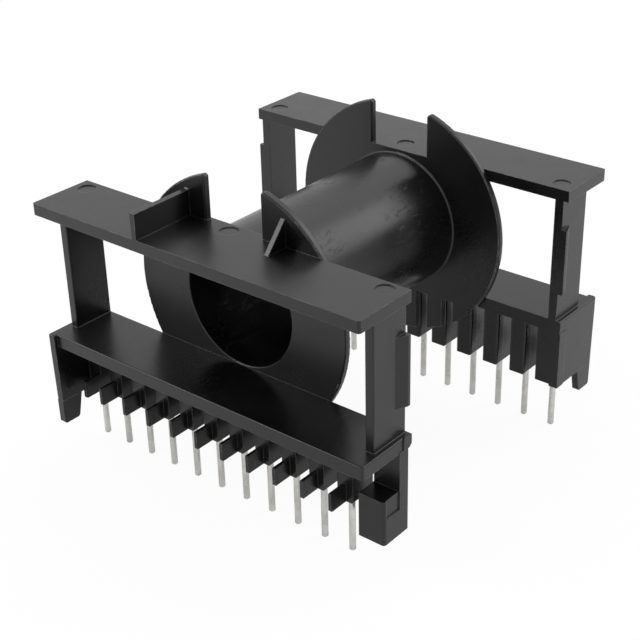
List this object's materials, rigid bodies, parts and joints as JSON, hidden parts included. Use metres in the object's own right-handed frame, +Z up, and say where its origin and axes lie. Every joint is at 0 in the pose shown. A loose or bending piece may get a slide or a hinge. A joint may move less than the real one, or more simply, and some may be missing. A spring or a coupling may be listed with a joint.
{
  "type": "transformer bobbin",
  "caption": "Moulded coil former for an E core with a round centre leg: notched end discs, frames that hold the core, and two rows of solder pins.",
  "frame": {"origin": "midway between the two pin rows, on the plane of the pin tips", "axes": "+X along the pin rows, +Y along the tube's axis, +Z up away from the board"},
  "size_m": [0.061, 0.0612, 0.0496],
  "materials": {
    "plastic": "satin",
    "tinned_pin": "satin"
  },
  "bodies": {
    "root": {"coil_former": "plastic", "pin_01": "tinned_pin", "pin_02": "tinned_pin", "pin_03": "tinned_pin", "pin_04": "tinned_pin", "pin_05": "tinned_pin", "pin_06": "tinned_pin", "pin_07": "tinned_pin", "pin_08": "tinned_pin", "pin_09": "tinned_pin", "pin_10": "tinned_pin", "pin_11": "tinned_pin", "pin_12": "tinned_pin", "pin_13": "tinned_pin", "pin_14": "tinned_pin", "pin_15": "tinned_pin", "pin_16": "tinned_pin", "pin_17": "tinned_pin", "pin_18": "tinned_pin", "pin_19": "tinned_pin", "pin_20": "tinned_pin", "pin_21": "tinned_pin", "pin_22": "tinned_pin"}
  },
  "joints": []
}
